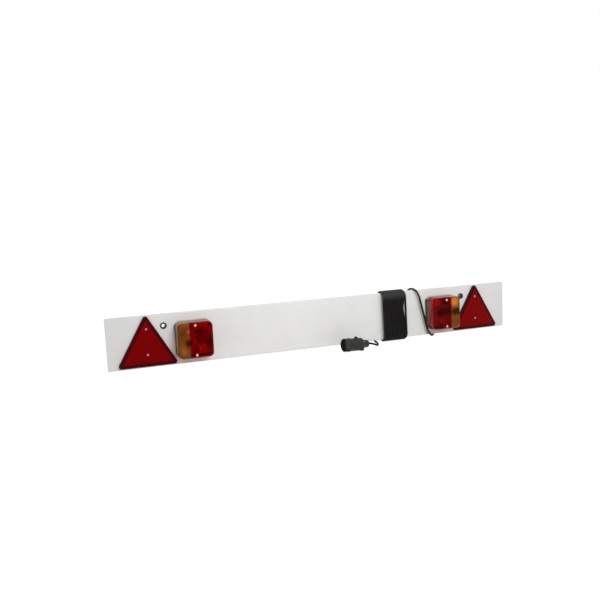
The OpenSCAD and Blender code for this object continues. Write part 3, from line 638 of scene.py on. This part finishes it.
@dataclass
class Studio:
    """A pale room: three soft lamps, an even world and a white floor."""

    floor_z: float = -114.5
    floor_half: float = 30000.0
    world_level: float = 0.38
    floor_tone: str = "#e4e4e4"
    floor_glow: float = 0.75
    key_place: Point = (80.0, -1300.0, 800.0)
    key_aim: Point = (60.0, 0.0, -40.0)
    key_power: float = 9.5
    key_size: float = 500.0
    top_place: Point = (150.0, -300.0, 1300.0)
    top_aim: Point = (100.0, -20.0, 0.0)
    top_power: float = 3.0
    top_size: float = 900.0
    fill_place: Point = (-150.0, -1900.0, 500.0)
    fill_aim: Point = (0.0, 0.0, -40.0)
    fill_power: float = 5.0
    fill_size: float = 1400.0

    def build(self) -> None:
        """Sets the lamps, the world and the floor."""
        bpy.context.scene.view_settings.view_transform = "Standard"
        self.lamp("key", self.key_place, self.key_aim, self.key_power, self.key_size)
        self.lamp("fill", self.fill_place, self.fill_aim, self.fill_power, self.fill_size)
        self.lamp("top", self.top_place, self.top_aim, self.top_power, self.top_size)
        self.world()
        self.floor()

    def lamp(self, name: str, place: Point, aim: Point, power: float, size: float) -> None:
        """Hangs one square soft lamp.

        Args:
            name: The lamp's name.
            place: Its place.
            aim: The point that it faces.
            power: Its power in watts.
            size: The length of its side.
        """
        data = bpy.data.lights.new(name, "AREA")
        data.energy = power
        data.size = size * MM
        made = bpy.data.objects.new(name, data)
        made.location = Vector(place) * MM
        towards = Vector(aim) - Vector(place)
        made.rotation_euler = towards.to_track_quat("-Z", "Y").to_euler()
        bpy.context.scene.collection.objects.link(made)

    def world(self) -> None:
        """Lights the room evenly, and shows white to the eye, in metal and in glass."""
        world = bpy.data.worlds.new("room")
        world.use_nodes = True
        tree = world.node_tree
        tree.nodes.clear()
        even = {"Color": linear("#ffffff"), "Strength": self.world_level}
        light = add_node(tree, "Background", even).outputs[0]
        white = add_node(tree, "Background", {"Color": linear("#ffffff"), "Strength": 1.0})
        shown = {0: seen(tree), 1: light, 2: white.outputs[0]}
        add_node(tree, "OutputWorld", {0: add_node(tree, "MixShader", shown).outputs[0]})
        bpy.context.scene.world = world

    def floor(self) -> None:
        """Lays the floor, which glows for the eye alone and keeps the board's shadow."""
        floor = MeshMaker().square(self.floor_half, self.floor_z).piece("floor")
        made = bpy.data.materials.new("white floor")
        made.use_nodes = True
        tree = made.node_tree
        tree.nodes.clear()
        cloth = add_node(tree, "BsdfDiffuse", {"Color": linear(self.floor_tone)}).outputs[0]
        level = add_node(tree, "Math", {0: seen(tree), 1: self.floor_glow}, operation="MULTIPLY")
        glow = add_node(tree, "Emission", {"Strength": level.outputs[0]}).outputs[0]
        both = add_node(tree, "AddShader", {0: cloth, 1: glow}).outputs[0]
        add_node(tree, "OutputMaterial", {"Surface": both})
        floor.data.materials.append(made)


def seen(tree: Tree) -> Socket:
    """Tells rays that show the background to the eye, in gloss or through glass.

    Args:
        tree: The nodes of the world or of a material.

    Returns:
        The output that carries 1 for such a ray and 0 for any other.
    """
    path = add_node(tree, "LightPath").outputs
    direct = add_node(
        tree, "Math", {0: path["Is Camera Ray"], 1: path["Is Glossy Ray"]}, operation="MAXIMUM"
    )
    inputs = {0: direct.outputs[0], 1: path["Is Transmission Ray"]}
    return add_node(tree, "Math", inputs, operation="MAXIMUM").outputs[0]


class MeshMaker:
    """Collects faces in millimetres and turns them into one object."""

    def __init__(self) -> None:
        """Starts with no faces."""
        self.mesh = bmesh.new()

    def square(self, half: float, z: float) -> "MeshMaker":
        """Adds a level square round the origin.

        Args:
            half: Half its side.
            z: Its height.

        Returns:
            The maker itself.
        """
        corners = ((-half, -half), (half, -half), (half, half), (-half, half))
        self.mesh.faces.new([self.mesh.verts.new((x, y, z)) for x, y in corners])
        return self

    def turned(
        self,
        profile: list[tuple[float, float]],
        foot: Vector,
        axis: Vector,
        sides: int,
        sink: Callable[[float, float, float], float] | None = None,
    ) -> "MeshMaker":
        """Turns a profile round an axis into a closed form.

        Args:
            profile: Radius and height of each point, starting and ending on the axis.
            foot: The point on the axis at height 0.
            axis: The axis, of length 1.
            sides: How many sides the form has.
            sink: Gives a point's new height from its radius, angle and height.

        Returns:
            The maker itself.
        """
        across = axis.orthogonal().normalized()
        third = axis.cross(across)
        rings = []
        for radius, height in profile:
            if radius == 0:
                height = sink(0, 0, height) if sink else height
                rings.append([self.mesh.verts.new(foot + axis * height)])
                continue
            ring = []
            for k in range(sides):
                turn = 2 * math.pi * k / sides
                out = math.cos(turn) * across + math.sin(turn) * third
                high = sink(radius, turn, height) if sink else height
                ring.append(self.mesh.verts.new(foot + axis * high + out * radius))
            rings.append(ring)
        for low, high in zip(rings, rings[1:]):
            for k in range(sides):
                corners = [
                    low[k % len(low)],
                    low[(k + 1) % len(low)],
                    high[(k + 1) % len(high)],
                    high[k % len(high)],
                ]
                self.mesh.faces.new(list(dict.fromkeys(corners)))
        return self

    def piece(self, name: str, smooth: bool = True) -> bpy.types.Object:
        """Makes the object, in metres.

        Args:
            name: The object's name.
            smooth: Whether its faces are shaded smooth.

        Returns:
            The new object.
        """
        bmesh.ops.recalc_face_normals(self.mesh, faces=self.mesh.faces)
        bmesh.ops.scale(self.mesh, vec=(MM, MM, MM), verts=self.mesh.verts)
        data = bpy.data.meshes.new(name)
        self.mesh.to_mesh(data)
        self.mesh.free()
        made = bpy.data.objects.new(name, data)
        bpy.context.scene.collection.objects.link(made)
        if smooth:
            data.shade_smooth()
        return made


def tube(
    name: str, points: list[Vector], radius: float, resolution: int, capped: bool
) -> bpy.types.Object:
    """Makes a round tube along a line.

    Args:
        name: The object's name.
        points: The line's points, in millimetres.
        radius: The tube's radius.
        resolution: How finely its section is divided.
        capped: Whether its ends are closed.

    Returns:
        The new object.
    """
    data = bpy.data.curves.new(name, "CURVE")
    data.dimensions = "3D"
    data.bevel_depth = radius * MM
    data.bevel_resolution = resolution
    data.use_fill_caps = capped
    line = data.splines.new("POLY")
    line.points.add(len(points) - 1)
    for target, point in zip(line.points, points):
        target.co = (*(point * MM), 1)
    line.use_smooth = True
    made = bpy.data.objects.new(name, data)
    bpy.context.scene.collection.objects.link(made)
    return made


def fitted(piece: bpy.types.Object, finish: Finish) -> bpy.types.Object:
    """Dresses a new piece and lets it ride with the board.

    Args:
        piece: The new piece.
        finish: Its finish.

    Returns:
        The piece.
    """
    piece.data.materials.append(finish.material())
    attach(piece, BODY)
    LOG.info("%s: %s", piece.name, finish.name)
    return piece


@dataclass
class MainLead:
    """The main lead: out of the right lamp, round the board twelve times, to the plug."""

    thickness: float = 6.0
    start: Point = (378, 8, -50)
    out: tuple[Point, ...] = (
        (378, 14, -50), (378, 22, -52), (377, 27, -58), (376, 28, -68), (375, 25, -80),
        (374, 20, -92), (371.5, 13, -103), (367, 5, -110), (360, -4, -111.5),
        (351, -13, -110.5), (341, -20, -103.5), (333.5, -22.5, -94), (328.5, -23, -80),
        (323.5, -23, -58), (317, -23, -33), (311, -23, -9), (305, -22.5, 14),
        (300, -20, 26.5), (295, -14, 33.6), (290, -5, 36.2), (286, 4, 33.6),
        (282.5, 10.5, 26), (279, 13, 15), (273, 13, 0), (268, 13, -14.5), (263.5, 13, -29),
    )
    back: tuple[Point, ...] = (
        (181, 13, -76), (176.5, 13, -88), (172, 12, -99), (168, 8, -107), (165, 0, -111),
        (163, -10, -111.5), (160.5, -22, -111.5), (156.5, -35, -111.5), (151, -48, -111.5),
        (144.5, -59.5, -111), (137, -68.5, -108.5), (129, -75, -105), (120, -79, -101.5),
        (111, -80.8, -99.3),
    )
    end: Point = (103.03, -81.89, -98.47)
    turns: int = 12
    turn_points: int = 28
    pitch: float = 6.1
    first_x: float = 257.15
    entry_x: float = 260.0
    entry_z: float = -40.0
    middle_y: float = -5.0
    radius: float = 18.0
    low_z: float = -93.5
    high_z: float = 17.5
    bow: float = 4.9
    slack_z: float = -18.0
    slack_reach: float = 15.0
    step: float = 3.0

    def build(self) -> None:
        points = self.smooth([self.start, *self.out, *self.winding(), *self.back, self.end])
        lead = tube("main_lead", points, self.thickness / 2, resolution=4, capped=True)
        fitted(lead, LEAD_PVC)
        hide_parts("cord_lead", "cord_winding", "cord_tail")

    def winding(self) -> list[Point]:
        """Winds the turns round the board, from the rear and downwards.

        Returns:
            Points along the turns, in even steps of the way.
        """
        upright = self.high_z - self.low_z
        bend = math.pi * self.radius
        around = 2 * upright + 2 * bend
        points = []
        for k in range(self.turns * self.turn_points + 1):
            travel = k / self.turn_points * around
            along = travel % around
            y, z = self.on_turn(along)
            x = self.first_x - self.pitch * travel / around
            first_run = min(travel / (self.entry_z - self.low_z), 1.0)
            x += (self.entry_x - self.first_x) * (1 - first_run) ** 2
            if y < self.middle_y:
                x += self.bow * self.spread(int(travel // around), y, z)
            points.append((x, y, z))
        return points

    def spread(self, turn: int, y: float, z: float) -> float:
        """Tells how far a front run stands off to the right, as a share of the bow.

        Every run leans a little, and above its middle only the first one still does.

        Args:
            turn: The turn, counted from the right.
            y: The place's y.
            z: The place's height.

        Returns:
            The share.
        """
        round_bend = min((self.middle_y - y) / self.radius, 1.0)
        lean = 1 - turn / (self.turns - 1)
        slack = math.exp(-(((z - self.slack_z) / self.slack_reach) ** 2))
        return round_bend * lean * (1 - (slack if turn else 0))

    def on_turn(self, along: float) -> tuple[float, float]:
        """Finds a place on one turn.

        Args:
            along: The way gone since the rear run's starting height.

        Returns:
            Its y and z.
        """
        upright = self.high_z - self.low_z
        bend = math.pi * self.radius
        down = self.entry_z - self.low_z
        rear, front = self.middle_y + self.radius, self.middle_y - self.radius
        if along < down:
            return rear, self.entry_z - along
        along -= down
        if along < bend:
            turn = along / self.radius
            return (
                self.middle_y + self.radius * math.cos(turn),
                self.low_z - self.radius * math.sin(turn),
            )
        along -= bend
        if along < upright:
            return front, self.low_z + along
        along -= upright
        if along < bend:
            turn = along / self.radius
            return (
                self.middle_y - self.radius * math.cos(turn),
                self.high_z + self.radius * math.sin(turn),
            )
        along -= bend
        return rear, self.high_z - along

    def smooth(self, route: list[Point]) -> list[Vector]:
        """Draws one smooth curve through a route, in even short steps.

        Args:
            route: The points that the curve passes through.

        Returns:
            The points of the curve.
        """
        knots = [Vector(p) for p in route]
        ends = [2 * knots[0] - knots[1], *knots, 2 * knots[-1] - knots[-2]]
        line = [knots[0]]
        for before, a, b, after in zip(ends, ends[1:], ends[2:], ends[3:]):
            gaps = [max((q - p).length, 1e-6) ** 0.5 for p, q in ((before, a), (a, b), (b, after))]
            out = (a - before) / gaps[0] - (b - before) / (gaps[0] + gaps[1]) + (b - a) / gaps[1]
            into = (b - a) / gaps[1] - (after - a) / (gaps[1] + gaps[2]) + (after - b) / gaps[2]
            out, into = out * gaps[1], into * gaps[1]
            parts = max(round((b - a).length / self.step), 1)
            for k in range(1, parts + 1):
                t = k / parts
                line.append(
                    (2 * t**3 - 3 * t**2 + 1) * a
                    + (t**3 - 2 * t**2 + t) * out
                    + (3 * t**2 - 2 * t**3) * b
                    + (t**3 - t**2) * into
                )
        return line


@dataclass
class Plank:
    """The hollow board and the two grommets in its hang holes."""

    def build(self) -> None:
        """Dresses the board and its grommets."""
        dress(PLANK_PVC, "board")
        dress(GROMMET_NYLON, *(f"hang_grommet_{side.value}" for side in Side))


@dataclass
class ScrewPair:
    """Two pan-head screws one above the other, with crossed recesses."""

    node: str
    x: float
    heights: tuple[float, float]
    seat_y: float
    head_r: float
    shank_r: float
    length: float
    head_h: float = 2.2
    recess_r: float = 1.7
    recess_depth: float = 1.1
    sides: int = 32

    def build(self, finish: Finish) -> None:
        """Makes both screws as one piece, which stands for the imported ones.

        Args:
            finish: The screws' finish.
        """
        maker = MeshMaker()
        profile = [
            (0, -self.length), (self.shank_r - 0.4, -self.length),
            (self.shank_r, 0.5 - self.length), (self.shank_r, 0), (self.head_r - 0.2, 0),
            (self.head_r, 0.3), (self.head_r, 0.45 * self.head_h),
        ]
        profile += [
            (self.head_r * share, self.head_h * (1 - 0.55 * share**2.6))
            for share in (0.9, 0.78, 0.66, 0.55, 0.46, 0.37, 0.28, 0.18, 0.08, 0)
        ]
        for z in self.heights:
            foot = Vector((self.x, self.seat_y, z))
            maker.turned(profile, foot, Vector((0, -1, 0)), self.sides, self.recess)
        screws = maker.piece(self.node.replace("lamp_", "") + "_crossed")
        fitted(screws, finish)
        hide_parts(self.node)

    def recess(self, radius: float, turn: float, height: float) -> float:
        """Sinks the cross into the head.

        Args:
            radius: A point's distance from the axis.
            turn: Its angle round the axis.
            height: Its height.

        Returns:
            Its new height.
        """
        if height <= 0 or radius >= self.recess_r:
            return height
        arm = math.cos(2 * turn) ** 4
        return height - self.recess_depth * (1 - radius / self.recess_r) * max(arm, 0.15)


@dataclass
class TriangleReflector:
    """One red triangle with its black tray, its screws and its nuts."""

    side: Side
    centre_x: float = 504.0
    screw_z: tuple[float, float] = (-72.0, -4.0)

    def build(self) -> None:
        """Dresses the triangle's solids."""
        end = self.side.value
        dress(TRAY_ABS, f"triangle_tray_{end}")
        dress(REFLECTOR_ACRYLIC, f"triangle_reflector_{end}")
        dress(PLATED_STEEL, f"triangle_nuts_{end}")
        x = self.side.sign * self.centre_x
        ScrewPair(f"triangle_screws_{end}", x, self.screw_z, -17.5, 3.2, 2.5, 24.0).build(
            PASSIVATED_STEEL_PAINTED_RED
        )


@dataclass
class Bulb:
    """One bayonet bulb: blown glass, a brass cap, a coiled filament on two wires.

    The glass bulges from glass_start, an angle in degrees below its middle.
    """

    name: str
    node: str
    x: float
    glass_r: float
    y: float = -35.0
    foot_z: float = -75.0
    cap_r: float = 7.6
    cap_len: float = 15.0
    glass_len: float = 36.0
    glass_wall: float = 0.8
    glass_start: float = -62.0
    glass_rings: int = 15
    wire_x: float = 1.6
    wire_r: float = 0.2
    wire_rise: float = 6.0
    coil_half: float = 4.0
    coil_r: float = 0.5
    coil_sides: int = 8
    coils: int = 11
    sides: int = 40

    def build(self) -> None:
        """Makes the bulb's three pieces, which stand for its solid."""
        foot = Vector((self.x, self.y, self.foot_z))
        up = Vector((0, 0, 1))
        glass = MeshMaker().turned(self.envelope(0), foot, up, self.sides)
        glass.turned(self.envelope(self.glass_wall), foot, up, self.sides)
        shell = fitted(glass.piece(f"{self.name}_glass"), BULB_GLASS)
        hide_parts(self.node)
        r = self.cap_r
        profile = [
            (0, 0), (2.2, 0), (2.6, 0.6), (2.6, 1.2), (r - 1.2, 1.6), (r - 0.3, 2.0),
            (r, 2.8), (r, self.cap_len - 1.2), (r - 0.8, self.cap_len - 0.6),
            (r - 1.2, self.cap_len), (0, self.cap_len),
        ]
        cap = MeshMaker().turned(profile, foot, up, self.sides)
        peg = [(0, 0), (1, 0), (1, r + 0.9), (0.7, r + 1.2), (0, r + 1.2)]
        for out in (Vector((1, 0, 0)), Vector((-1, 0, 0))):
            cap.turned(peg, foot + up * (self.cap_len * 0.45), out, 12)
        fitted(cap.piece(f"{self.name}_cap"), DRAWN_BRASS)
        self.filament(foot)

    def filament(self, foot: Vector) -> None:
        """Strings a coiled filament between two wires that stand on the cap.

        Args:
            foot: The cap's lowest point.
        """
        low, high = self.cap_len - 1, self.cap_len + self.glass_len - self.glass_r
        bend, top = low + self.wire_rise, high - 3 * self.coil_r
        half, steps = self.coil_half, self.coils * self.coil_sides
        wires = [(self.wire_x, 0, low), (self.wire_x, 0, bend), (half, 0, top)]
        points = [(-x, y, z) for x, y, z in wires]
        for k in range(steps + 1):
            turn = 2 * math.pi * k / self.coil_sides
            out, rise = self.coil_r * math.sin(turn), self.coil_r * math.cos(turn)
            points.append((half * (2 * k / steps - 1), out, high + rise))
        points += reversed(wires)
        line = [foot + Vector(point) for point in points]
        wire = tube(f"{self.name}_filament", line, self.wire_r, resolution=1, capped=False)
        fitted(wire, TUNGSTEN)

    def envelope(self, inset: float) -> list[tuple[float, float]]:
        """Gives the glass's profile, drawn in by the inset.

        Args:
            inset: How far the profile lies inside the outer one.

        Returns:
            Radius and height of each point.
        """
        neck = self.cap_r - 1 - inset
        r = self.glass_r - inset
        centre = self.cap_len + self.glass_len - self.glass_r
        low = self.cap_len - 1 + inset
        profile = [(0, low), (neck, low), (neck, self.cap_len + 2)]
        last = self.glass_rings - 1
        for k in range(self.glass_rings):
            turn = math.radians(self.glass_start + (90 - self.glass_start) * k / last)
            radius = r * math.cos(turn)
            profile.append((radius if k < last else 0, centre + r * math.sin(turn)))
        return profile


@dataclass
class RearLamp:
    """One square rear lamp with its lenses, its bulbs and their fittings."""

    side: Side
    centre_x: float = 381.0
    screw_z: tuple[float, float] = (-81.0, -1.0)
    stop_bulb_x: float = -12.3
    indicator_bulb_x: float = 31.0
    window_x: float = 336.5
    stop_r: float = 12.5
    indicator_r: float = 12.0

    def build(self) -> None:
        """Dresses the lamp's solids and makes its bulbs."""
        end = self.side.value
        dress(BASE_ABS, f"lamp_base_{end}")
        dress(SEAL_FOAM, f"lamp_seal_{end}")
        clear_x = self.window_x if self.side is Side.RIGHT else None
        red = replace(RED_ACRYLIC, painted_spots=RED_PAINTED_SPOTS[self.side], clear_x=clear_x)
        dress(red, f"lamp_red_lens_{end}")
        dress(replace(AMBER_ACRYLIC, painted_spots=AMBER_PAINTED_SPOTS[self.side]), f"lamp_amber_lens_{end}")
        dress(CLEAR_ACRYLIC, f"lamp_window_{end}")
        dress(PLATE_ENAMEL, f"lamp_bulb_plate_{end}")
        dress(DRAWN_BRASS, f"lamp_holders_{end}")
        middle = self.side.sign * self.centre_x
        ScrewPair(f"lamp_lens_screws_{end}", middle, self.screw_z, -54.0, 3.5, 1.6, 14.4).build(
            NICKEL_PAINTED_RED
        )
        dress(PLATED_STEEL, f"lamp_bolts_{end}", f"lamp_nuts_{end}")
        dress(BUSH_RUBBER, f"lamp_cable_bush_{end}")
        for use, x, r in (
            ("stop", self.stop_bulb_x, self.stop_r),
            ("indicator", self.indicator_bulb_x, self.indicator_r),
        ):
            place = self.side.sign * (self.centre_x + x)
            Bulb(f"{use}_bulb_{end}", f"lamp_{use}_bulb_{end}", place, r).build()


@dataclass
class LinkWiring:
    """The cable between the lamps on the board's back, with its clips."""

    def build(self) -> None:
        """Dresses the link cable, its clips, their screws and the main lead's bush."""
        dress(LEAD_PVC, "link_cable")
        dress(CLIP_NYLON, "cable_clips")
        dress(PLATED_STEEL, "clip_screws")
        dress(BUSH_RUBBER, "lead_bush")


@dataclass
class TrailerPlug:
    """The seven-pole plug on the lead's end."""

    NODES = (
        "plug_body",
        "plug_insert",
        "plug_pins",
        "plug_cover",
        "plug_cover_screws",
        "plug_cable_nut",
    )

    def build(self) -> None:
        """Dresses the plug's solids."""
        dress(PLUG_NYLON, "plug_body", "plug_cover", "plug_cable_nut")
        dress(INSERT_PLASTIC, "plug_insert")
        dress(BRASS_PAINTED_SHADE, "plug_pins")
        dress(PLATED_STEEL, "plug_cover_screws")


def main() -> None:
    """Builds the camera, the lead, the board with all that it carries, and the studio."""
    logging.basicConfig(level=logging.INFO, format="%(message)s")
    Viewpoint().build()
    MainLead().build()
    Plank().build()
    for side in Side:
        TriangleReflector(side).build()
        RearLamp(side).build()
    LinkWiring().build()
    TrailerPlug().build()
    Studio().build()


if __name__ == "__main__":
    main()
